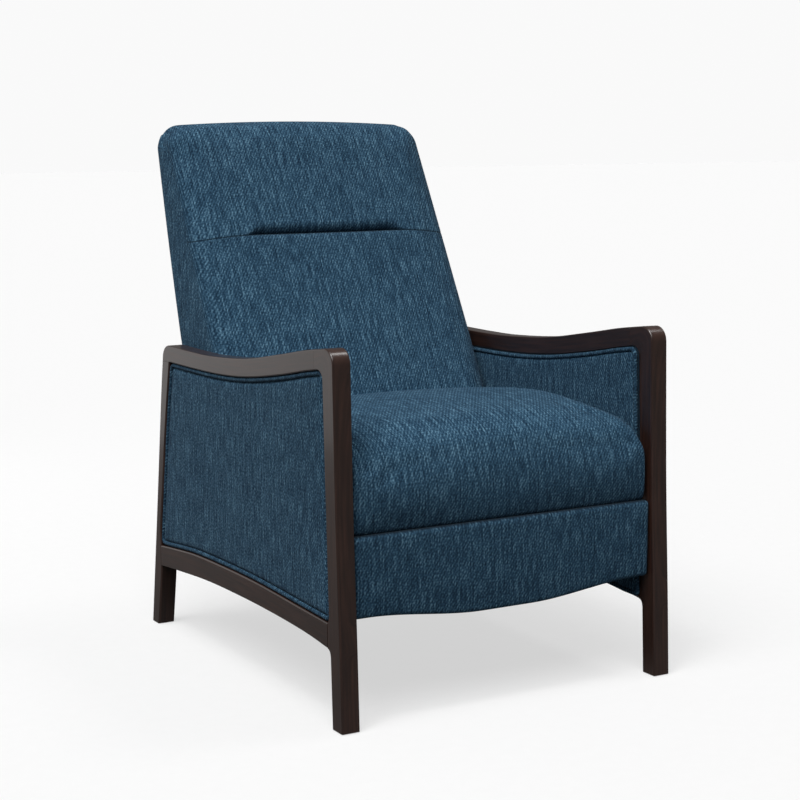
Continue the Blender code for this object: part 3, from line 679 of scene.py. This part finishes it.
def panel_sides(outline, corners):
    """Bottom, top, front and rear edges of a panel outline."""
    front_top, front_foot, rear_foot, rear_top = corners
    front = outline[front_top:front_foot + 1][::-1]
    bottom = outline[front_foot:rear_foot + 1]
    rear = outline[rear_foot:rear_top + 1]
    top = np.concatenate([outline[rear_top:], outline[:front_top + 1]])[::-1]
    return bottom, top, front, rear


PAD_MARGIN = 2 * WELT_RADIUS + 0.0002
WELT_MARGIN = WELT_RADIUS + LACQUER + 0.0007
WELT_STEP = 0.004
# Name, outline, x of the pad's back, way it faces, (thickness, roll, crown) and x of the welt.
PANELS = (("outer", (RAIL_UPPER, (0.0455, 0.1800), (0.7690, 0.1690), 0.0130),
           0.3273, 1, (0.0098, 0.0075, 0.0030), 0.3350),
          ("inner", (RAIL_LOWER, (0.0440, 0.1400), (0.7660, 0.1330), 0.0080),
           0.3062, -1, (0.0066, 0.0050, 0.0010), 0.3022))
for side_name, side in SIDES:
    for panel_name, panel, pad_x, facing, pad_form, welt_x in PANELS:
        pillow(f"side_pad_{panel_name}_{side_name}", panel_sides(*panel_outline(PAD_MARGIN, *panel)),
               lambda a, b, h, side=side, x=pad_x, way=facing: (side * (x + way * h), row_y(a), b),
               *pad_form, "base", [f"{panel_name}_pad_{side_name}"])
        welt = even_outline(panel_outline(WELT_MARGIN, *panel)[0], WELT_STEP)
        closed_tube(f"side_welt_{panel_name}_{side_name}", [(side * welt_x, row_y(d), z) for d, z in welt],
                    [f"{panel_name}_welt_{side_name}"])


# ---------------------------------------------------------------- cushions lofted across the chair
CAP_SHARES = (0.06, 0.22, 0.5, 0.78, 0.94)
CLOTH_PRESSURE = 4.0
CLOTH_STIFFNESS = 12.0
CLOTH_SHEAR = 4.0
CLOTH_BENDING = 0.8
CLOTH_FRAMES = 20
CLOTH_GRID = (50, 60)          # points across and down the sheets in the simulation


def shell(outer, inner, cap_bulge):
    """Vertices and faces of the closed solid between two (station, point, xyz) sheets."""
    stations, count, _ = outer.shape
    blocks = [outer.reshape(-1, 3), inner.reshape(-1, 3)]
    faces = grid_faces(stations, count) + grid_faces(stations, count, stations * count)
    first_inner = stations * count
    for j in (0, count - 1):
        for i in range(stations - 1):
            a = i * count + j
            faces.append((a, a + count, first_inner + a + count, first_inner + a))
    start = 2 * stations * count
    for end, sign in ((0, -1), (stations - 1, 1)):
        rows = [np.arange(count) + end * count]
        for share in CAP_SHARES:
            column = outer[end] * (1 - share) + inner[end] * share
            column = column + np.array([sign * cap_bulge * 4 * share * (1 - share), 0, 0])
            blocks.append(column)
            rows.append(np.arange(count) + start)
            start += count
        rows.append(np.arange(count) + first_inner + end * count)
        for a, b in zip(rows, rows[1:]):
            for j in range(count - 1):
                faces.append((int(a[j]), int(a[j + 1]), int(b[j + 1]), int(b[j])))
        for j in (0, count - 1):
            faces.append(tuple(int(r[j]) for r in rows))
    return np.concatenate(blocks), faces


def swell(outer, inner, held, cap, cap_bulge):
    """How far each point of the outer sheet moves when the closed cover is blown up as cloth.

    No point moves further than cap."""
    vertices, faces = shell(outer, inner, cap_bulge)
    mesh = closed_mesh("cloth", vertices, faces)
    cloth = bpy.data.objects.new("cloth", mesh)
    scene.collection.objects.link(cloth)
    group = cloth.vertex_groups.new(name="held")
    fixed = np.ones(len(vertices), bool)
    fixed[:held.size] = held.ravel()
    group.add([int(i) for i in np.nonzero(fixed)[0]], 1.0, "REPLACE")
    modifier = cloth.modifiers.new("cloth", "CLOTH")
    settings = modifier.settings
    settings.use_pressure = True
    settings.uniform_pressure_force = CLOTH_PRESSURE
    settings.vertex_group_mass = "held"
    settings.effector_weights.gravity = 0.0
    settings.tension_stiffness = CLOTH_STIFFNESS
    settings.compression_stiffness = CLOTH_STIFFNESS
    settings.shear_stiffness = CLOTH_SHEAR
    settings.bending_stiffness = CLOTH_BENDING
    modifier.collision_settings.use_collision = False
    modifier.point_cache.frame_start = 1
    modifier.point_cache.frame_end = CLOTH_FRAMES
    for number in range(1, CLOTH_FRAMES + 1):
        scene.frame_set(number)
    done = cloth.evaluated_get(bpy.context.evaluated_depsgraph_get()).to_mesh()
    after = np.zeros(len(vertices) * 3)
    done.vertices.foreach_get("co", after)
    move = after.reshape(-1, 3)[:held.size].reshape(outer.shape) - outer
    bpy.data.objects.remove(cloth)
    bpy.data.meshes.remove(mesh)
    scene.frame_set(1)
    size = np.linalg.norm(move, axis=2, keepdims=True)
    return move * np.minimum(1, cap / np.maximum(size, 1e-9))


def spread(field, rows, columns, new_rows, new_columns):
    """A field known on one grid of shares, read on another."""
    middle = np.stack([[np.interp(new_columns, columns, field[i, :, k]) for k in range(3)]
                       for i in range(len(rows))])
    middle = np.moveaxis(middle, 1, 2)
    result = np.stack([[np.interp(new_rows, rows, middle[:, j, k]) for k in range(3)]
                       for j in range(len(new_columns))])
    return np.moveaxis(result, 2, 0)


def cushion(name, make, across_shares, down_shares, body, replaced, cap, cap_bulge=0.0, detail=None):
    """A soft piece: its sheets come from make(across, down), then cloth pressure, then its seams and their
    painted shade.
    """
    rough_across, rough_down = (np.linspace(0, 1, count) for count in CLOTH_GRID)
    move = swell(*make(rough_across, rough_down), cap, cap_bulge)
    outer, inner, _ = make(across_shares, down_shares)
    outer = outer + spread(move, rough_across, rough_down, across_shares, down_shares)
    # Painted shade for each point of the outer sheet, filled in by the seams' detail.
    painted_shade = np.zeros(outer.shape[:2])
    if detail:
        outer, painted_shade = detail(outer)
    vertices, faces = shell(outer, inner, cap_bulge)
    obj = add_piece(name, vertices, faces, FABRIC, body, replaced)
    down = lengths(outer[len(outer) // 2][:, 1:])
    across = np.concatenate([outer[:, :, 0].ravel(), inner[:, :, 0].ravel()])
    sheet_uv = np.stack([across, np.tile(down, 2 * len(outer))], axis=1)
    side_uv = vertices[:, 1:]
    lay_fabric_by_face(obj, np.concatenate([sheet_uv, side_uv[len(sheet_uv):]]), side_uv)
    paint_shade(obj, np.concatenate([painted_shade.ravel(), np.zeros(len(vertices) - painted_shade.size)]))


def side_x(share, half):
    return (2 * share - 1) * half


def rim(shape):
    """Which points of a sheet the simulation holds: those round its edge."""
    held = np.zeros(shape, bool)
    held[:, 0] = held[:, -1] = True
    held[0] = held[-1] = True
    return held


# ---------------------------------------------------------------- seat
SEAT_SAG = 0.0115
SEAT_ROLL_START = 0.2650
SEAT_ROLL_DROP = 0.027
SEAT_FRONT_ROUND = 0.009
SEAT_FRONT_FLARE = 0.0065      # the front is this much wider on each side than between the side pads
SEAT_CROWN_FROM = 0.400        # the rounding of the sides grows from this height
SEAT_CROWN_RISE = 0.080
SEAT_ROUND_UNTIL = 0.080       # the rounding of the front corners ends at this depth
SEAT_ROUND_FADE = 0.040
SEAT_FLARE_UNTIL = 0.030       # the front keeps its full width to this depth
SEAT_FLARE_FADE = 0.014
SEAT_LINE_LENGTH = 0.62


def make_seat(across_shares, down_shares):
    line = at_shares(smooth(SEAT_FRONT_LINE, 6), down_shares)
    under = at_shares(SEAT_UNDER_LINE, down_shares)
    x = side_x(across_shares, SEAT_HALF)[:, None]
    t = np.abs(x)
    roll = np.clip((t - SEAT_ROLL_START) / (SEAT_HALF - SEAT_ROLL_START), 0, 1)
    drop = SEAT_SAG * np.clip(t / SEAT_ROLL_START, 0, 1) ** 2 + SEAT_ROLL_DROP * (1 - quarter(1 - roll))
    raised = np.clip((line[None, :, 1] - SEAT_CROWN_FROM) / SEAT_CROWN_RISE, 0, 1)
    height = line[None, :, 1] - drop * raised
    turn = np.clip((t - SEAT_HALF + SEAT_FRONT_ROUND) / SEAT_FRONT_ROUND, 0, 1)
    near_front = np.clip((SEAT_ROUND_UNTIL - line[None, :, 0]) / SEAT_ROUND_FADE, 0, 1)
    depth = line[None, :, 0] + SEAT_FRONT_ROUND * (1 - quarter(1 - turn)) * near_front
    flare = 1 + SEAT_FRONT_FLARE / SEAT_HALF * (1 - ease((depth - SEAT_FLARE_UNTIL) / SEAT_FLARE_FADE))
    outer = np.stack([x * flare, row_y(depth), height], axis=2)
    inner = np.stack([np.broadcast_to(x, height.shape), np.broadcast_to(row_y(under[:, 0]), height.shape),
                      np.broadcast_to(under[:, 1], height.shape)], axis=2)
    return outer, inner, rim(height.shape)


cushion("seat_cushion_upholstered", make_seat, graded(2 * SEAT_HALF, fine=0.003, reach=0.042, step=0.008),
        graded(SEAT_LINE_LENGTH, fine=0.003, reach=0.024, step=0.006), "seat", ["seat_cushion"],
        cap=0.006)


# ---------------------------------------------------------------- back
TUCK_SHARE = 0.62              # share of the back's line below the tuck
BACK_REAR_GAP = 0.0003
SEAM_DEPTH = 0.0012
SEAM_ROLL = 0.004
# Painted shade on the back's cover: a thin dark line along each seam, a dark band on the ledge under the
# tuck, and their fade near the sides.
SEAM_SHADE_WIDTH = 0.0012
SHADE_END_FADE = 0.004
TUCK_SHADE = 0.40
TUCK_SHADE_REACH = 0.004
TUCK_END = 0.008               # the tuck closes this far beyond its half width
TUCK_END_FADE = 0.042
TUCK_END_POWER = 0.7
TUCK_DROOP_POWER = 1.8
LEDGE_REACH = 0.0009           # how far the cloth under a seam follows it in
LEDGE_REACH_OPEN = 0.0006      # and how much further where the tuck is open
BACK_TAPER_FROM = 0.590
BACK_TAPER_RISE = 0.410
REAR_BOW = 0.0025
REAR_BOW_FROM = 0.45
REAR_BOW_RISE = 0.55
STITCHED_SHARE = 0.9           # share of the line up the back that can take a seam
BACK_TOP_ROUND = 0.036
BACK_TOP_REAR_ROUND = 0.012
BACK_RISE = 0.0006             # the middle of the top stands this much over its edges


def back_rear(height):
    return BACK_REAR_AT[0] + math.tan(BACK_REAR_LEAN) * (height - BACK_REAR_AT[1])


def back_half(height):
    share = np.clip((height - BACK_TAPER_FROM) / BACK_TAPER_RISE, 0, 1)
    return BACK_HALF + (BACK_HALF_TOP - BACK_HALF) * share


def rear_flare(height):
    """How much wider the rear edge of the boxing is than its front, on each side."""
    share = np.clip((height - REAR_BOW_FROM) / REAR_BOW_RISE, 0, 1)
    return BACK_REAR_FLARE + REAR_BOW * np.sin(math.pi * share)


def tuck_height(t):
    return TUCK_HEIGHT - TUCK_DROOP * max(0.0, (t - TUCK_HALF) / (BACK_HALF - TUCK_HALF)) ** TUCK_DROOP_POWER


def make_back(across_shares, down_shares):
    outer_rows, inner_rows = [], []
    down_low = down_shares[down_shares <= TUCK_SHARE] / TUCK_SHARE
    down_high = (down_shares[down_shares > TUCK_SHARE] - TUCK_SHARE) / (1 - TUCK_SHARE)
    for x in side_x(across_shares, BACK_HALF):
        t = abs(x)
        sideways = x / BACK_HALF
        corner = np.clip((t - BACK_HALF + BACK_TOP_CORNER) / BACK_TOP_CORNER, 0, 1)
        top = BACK_TOP - BACK_TOP_SAG * sideways ** 2 - BACK_TOP_CORNER * (1 - quarter(1 - corner))
        turn = (t - BACK_HALF + BACK_FRONT_ROUND) / BACK_FRONT_ROUND
        ahead = BACK_FRONT_ROUND * quarter(1 - turn)
        ahead += BACK_CROWN * (1 - min(1.0, t / (BACK_HALF - BACK_FRONT_ROUND)) ** 2)
        rear_in = BACK_REAR_ROUND * (1 - quarter(1 - (t - BACK_HALF + BACK_REAR_ROUND) / BACK_REAR_ROUND))

        def front(z):
            return BACK_EDGE_AT[0] + BACK_EDGE_SLOPE * (z - BACK_EDGE_AT[1]) - ahead

        def rear(z, offset):
            return (back_rear(z) - offset / math.cos(BACK_REAR_LEAN) - rear_in, z)

        tuck = tuck_height(t)
        rear_top = rear(top, COVER_THICK)
        room = rear_top[0] - front(top)
        round_front = fillet((front(tuck), tuck), (front(top), top), rear_top,
                             min(BACK_TOP_ROUND, room * 0.5), 10)
        crown_point = ((round_front[-1][0] + rear_top[0]) / 2, top + BACK_RISE)
        lower = [(front(BACK_FOOT), BACK_FOOT), (front(tuck), tuck)]
        upper = [(front(tuck), tuck)] + round_front + [crown_point]
        line = np.concatenate([at_shares(lower, down_low), at_shares(upper, down_high)])
        outer_rows.append(np.column_stack([sideways * back_half(line[:, 1]), row_y(line[:, 0]), line[:, 1]]))

        board_top = min(BOARD_TOP, top - BOARD_UNDER_TOP)
        behind = COVER_THICK + BOARD_THICK if t < BOARD_HALF else BACK_REAR_GAP
        cover_side = COVER_THICK if t < COVER_HALF else BACK_REAR_GAP
        round_rear = fillet(rear(top - 0.1, cover_side), rear(top, cover_side), (rear_top[0] - 0.1, top),
                            min(BACK_TOP_REAR_ROUND, room * 0.3), 6)
        back_line = [rear(BACK_FOOT, behind), rear(board_top, behind),
                     rear(board_top + BOARD_EDGE_GAP, cover_side)]
        line = at_shares(back_line + round_rear, down_shares)
        inner_rows.append(np.column_stack([sideways * (back_half(line[:, 1]) + rear_flare(line[:, 1])),
                                           row_y(line[:, 0]), line[:, 1]]))
    outer = np.stack(outer_rows)
    return outer, np.stack(inner_rows), rim(outer.shape[:2])


def tuck_roll(rise, radius):
    """How far a round roll over the tuck lies behind the plain slope, at heights above the tuck."""
    lean = math.atan(BACK_EDGE_SLOPE)
    sine = np.clip(math.sin(TUCK_ROLL_END) - rise / radius, -math.sin(lean), 1)
    top = math.sin(TUCK_ROLL_END) + math.sin(lean)
    centre = math.cos(lean) + BACK_EDGE_SLOPE * top
    return radius * (centre - np.sqrt(1 - sine ** 2) - BACK_EDGE_SLOPE * np.clip(rise / radius, 0, top))


def stitch_back(outer):
    """The tuck under the headrest and the fine seams that run on from its ends, with painted shade along the
    seams and under the tuck.
    """
    result = outer.copy()
    painted_shade = np.zeros(outer.shape[:2])
    points = outer.shape[1]
    front = np.arange(points) < points * STITCHED_SHARE
    for i, row in enumerate(outer):
        t = abs(row[points // 2, 0])
        rise = row[:, 2] - tuck_height(t)
        opened = float(ease((TUCK_HALF + TUCK_END - t) / TUCK_END_FADE)) ** TUCK_END_POWER
        above = SEAM_DEPTH * (1 - quarter(np.clip(rise, 0, None) / SEAM_ROLL))
        above = np.maximum(above, tuck_roll(np.clip(rise, 0, None), max(TUCK_RADIUS * opened, 1e-6)))
        ledge = LEDGE_REACH + LEDGE_REACH_OPEN * opened
        below = float(np.max(above)) * np.exp(np.clip(rise, None, 0) / ledge)
        result[i, :, 1] += np.where(rise >= 0, above, below) * front
        # Painted shade: darker on the lit ledge just under the open tuck, and a thin dark line along each
        # seam.
        shade = TUCK_SHADE * opened * np.exp(np.clip(rise, None, 0) / TUCK_SHADE_REACH) * (rise < 0)
        shown = float(ease((BACK_HALF - t) / SHADE_END_FADE))
        painted_shade[i] = np.maximum(np.exp(-(rise / SEAM_SHADE_WIDTH) ** 2), shade) * front * shown
    return result, painted_shade


def back_shares():
    """Shares up the back, close together round the tuck."""
    low = np.concatenate([np.linspace(0, 0.90, 58), 1 - 0.10 * (1 - np.linspace(0, 1, 26)[1:]) ** 1.8])
    high = np.concatenate([0.10 * np.linspace(0, 1, 26)[1:] ** 1.6, np.linspace(0.10, 1.0, 62)[1:]])
    return np.concatenate([TUCK_SHARE * low, TUCK_SHARE + (1 - TUCK_SHARE) * high])


cushion("back_pad_upholstered", make_back, graded(2 * BACK_HALF, fine=0.002, reach=0.044, step=0.007),
        back_shares(), "back", ["back_pad"], cap=0.004, cap_bulge=0.0015, detail=stitch_back)


# ---------------------------------------------------------------- outside back
COVER_FOOT = 0.3925
COVER_TOP = 0.9960
COVER_TOP_HALF = 0.2740
COVER_FOOT_CORNER = 0.006
COVER_TOP_CORNER = 0.037
COVER_GAP = 0.0003
COVER_PAD = 0.0058
COVER_ROLL = 0.0045
COVER_CROWN = 0.0035
REAR_SLANT = 1 / math.cos(BACK_REAR_LEAN)


def cover_outline():
    """Bottom, top, left and right edges of the outside back, with a point in the middle of each corner."""
    foot, top = (COVER_HALF, COVER_FOOT), (COVER_TOP_HALF, COVER_TOP)
    low = fillet((0.0, COVER_FOOT), foot, top, COVER_FOOT_CORNER)
    high = fillet(foot, top, (0.0, COVER_TOP), COVER_TOP_CORNER, 12)
    half_low, half_high = len(low) // 2, len(high) // 2
    bottom = low[:half_low + 1]
    side = low[half_low:] + high[:half_high + 1]
    crest = high[half_high:]

    def mirrored(points):
        return [(-x, z) for x, z in points]

    return (mirrored(bottom)[::-1] + bottom, mirrored(crest) + crest[::-1], mirrored(side), side)


def place_cover(a, b, h):
    offset = COVER_THICK - COVER_GAP - h
    return (a, row_y(back_rear(b) - offset * REAR_SLANT), b)


pillow("back_cover_upholstered", cover_outline(), place_cover, COVER_PAD, COVER_ROLL, COVER_CROWN, "back",
       ["back_cover"])


# ---------------------------------------------------------------- footrest
def footrest_outline():
    """Bottom, top, left and right edges of the footrest pad, which is wavy at the bottom."""
    flat, middle = FOOTREST_WAVE[1], FOOTREST_WAVE[0]
    wave = [(float(x), FOOTREST_END - FOOTREST_DROP * ease((flat - abs(x)) / (flat - middle)))
            for x in np.linspace(-FOOTREST_HALF, FOOTREST_HALF, 61)]
    left, right = (-FOOTREST_HALF, FOOTREST_TOP), (FOOTREST_HALF, FOOTREST_TOP)
    low_left = fillet(left, wave[0], wave[3], FOOTREST_CORNER)
    low_right = fillet(wave[-4], wave[-1], right, FOOTREST_CORNER)
    high_right = fillet(wave[-1], right, left, FOOTREST_CORNER)
    high_left = fillet(right, left, wave[0], FOOTREST_CORNER)
    half = len(low_left) // 2
    return (low_left[half:] + wave[3:-3] + low_right[:half + 1],
            (high_right[half:] + high_left[:half + 1])[::-1],
            (high_left[half:] + low_left[:half + 1])[::-1],
            low_right[half:] + high_right[:half + 1])


footrest_pad = pillow("footrest_pad_upholstered", footrest_outline(),
                      lambda a, b, h: (a, row_y(FOOTREST_BACK - h), b),
                      FOOTREST_THICK, FOOTREST_ROLL, FOOTREST_CROWN, "footrest", ["footrest_pad"],
                      FOOTREST_CROWN_REACH)
# Painted shadow along the footrest's top edge, where the seat overhangs it.
paint_shade(footrest_pad, [math.exp((v.co.z - FOOTREST_TOP) / GAP_SHADOW_REACH) for v in footrest_pad.data.vertices])


# ---------------------------------------------------------------- finish of the carried CAD nodes
CARRIED = {"hidden_wood": HIDDEN_WOOD, "mechanism_steel": STEEL, "spring_steel": SPRING_STEEL,
           "glides": NYLON, "show_wood": WOOD, "upholstery": FABRIC}
for node_name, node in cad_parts.items():
    if not node.hide_render:
        for held_slot in node.material_slots:
            held_slot.material = CARRIED[held_slot.material.name.split(".")[0]]
            if node_name.startswith(("panel_board", "seat_front_rail", "seat_side_rail", "footrest_board")):
                held_slot.material = LINING
            if node_name.endswith("stretcher"):
                held_slot.material = STAINED_BOARD


# ---------------------------------------------------------------- floor, light and camera
FLOOR_GLOW = 0.625
FLOOR_BOUNCE = 0.45            # share of the floor's light that reaches the chair
FLOOR_HALF = 30.0
SKY = 0.15
BACKDROP = 0.95


def floor_material():
    """Pale floor that looks bright and sends little light back up."""
    n = Nodes("studio_floor")
    place = n.add("ShaderNodeTexCoord").outputs["Object"]
    grain = n.noise(place, (40.0, 40.0, 40.0), 3.0)
    colour = n.ramp(grain, [(0.3, (0.258, 0.258, 0.258)), (0.7, (0.266, 0.266, 0.266))])
    seen = n.add("ShaderNodeLightPath").outputs["Is Camera Ray"]
    kept = n.math("MULTIPLY_ADD", seen, 1 - FLOOR_BOUNCE, FLOOR_BOUNCE)
    colour = n.add("ShaderNodeVectorMath", {"operation": "SCALE"}, i0=colour, Scale=kept).outputs[0]
    return n.finish(Base_Color=colour, Roughness=0.9, Specular_IOR_Level=0.0,
                    Emission_Color=(1.0, 1.0, 1.0, 1.0),
                    Emission_Strength=n.math("MULTIPLY", seen, FLOOR_GLOW))


floor_mesh = bpy.data.meshes.new("studio_floor")
floor_mesh.from_pydata([(x * FLOOR_HALF, y * FLOOR_HALF, 0) for x, y in ((-1, -1), (1, -1), (1, 1), (-1, 1))],
                       [], [(0, 1, 2, 3)])
floor_mesh.materials.append(floor_material())
floor = bpy.data.objects.new("studio_floor", floor_mesh)
scene.collection.objects.link(floor)

world = bpy.data.worlds.new("studio")
scene.world = world
world.use_nodes = True
sky = world.node_tree
background = sky.nodes["Background"]
background.inputs["Color"].default_value = (1.0, 1.0, 1.0, 1.0)
ray = sky.nodes.new("ShaderNodeLightPath")
strength = sky.nodes.new("ShaderNodeMix")
strength.inputs[2].default_value = SKY
strength.inputs[3].default_value = BACKDROP
sky.links.new(ray.outputs["Is Camera Ray"], strength.inputs[0])
sky.links.new(strength.outputs[0], background.inputs["Strength"])


def lamp(name, kind, toward, energy, **settings):
    """A light whose beam comes from the direction or place given."""
    light = bpy.data.lights.new(name, kind)
    light.energy = energy
    for key, value in settings.items():
        setattr(light, key, value)
    obj = bpy.data.objects.new(name, light)
    obj.rotation_euler = Vector(toward).to_track_quat("Z", "Y").to_euler()
    scene.collection.objects.link(obj)
    return obj


lamp("key", "SUN", (-0.41, -0.31, 0.857), 3.10, angle=math.radians(50))
lamp("edge_light", "SUN", (-0.33, -0.14, 0.93), 0.55, angle=math.radians(10))
lamp("head_light", "SUN", (0.48, -0.08, 0.86), 0.45, angle=math.radians(16))
card = lamp("side_card", "AREA", (-0.58, 0.81, 0.0), 7.0, shape="RECTANGLE", size=2.2, size_y=1.85)
card.location = (-1.35, 1.90, 0.96)
card.visible_camera = False

CAMERA_AT = (-1.7168, -3.0141, 1.0119)
CAMERA_TILT = math.radians(81.253)
CAMERA_TURN = math.radians(-30.0)
camera_data = bpy.data.cameras.new("camera")
camera_data.lens = 82.6
camera_data.sensor_width = 36.0
camera = bpy.data.objects.new("camera", camera_data)
camera.location = CAMERA_AT
camera.rotation_euler = (CAMERA_TILT, 0.0, CAMERA_TURN)
scene.collection.objects.link(camera)
scene.camera = camera

scene.view_settings.view_transform = "Standard"
scene.view_settings.look = "None"

bpy.context.view_layer.update()
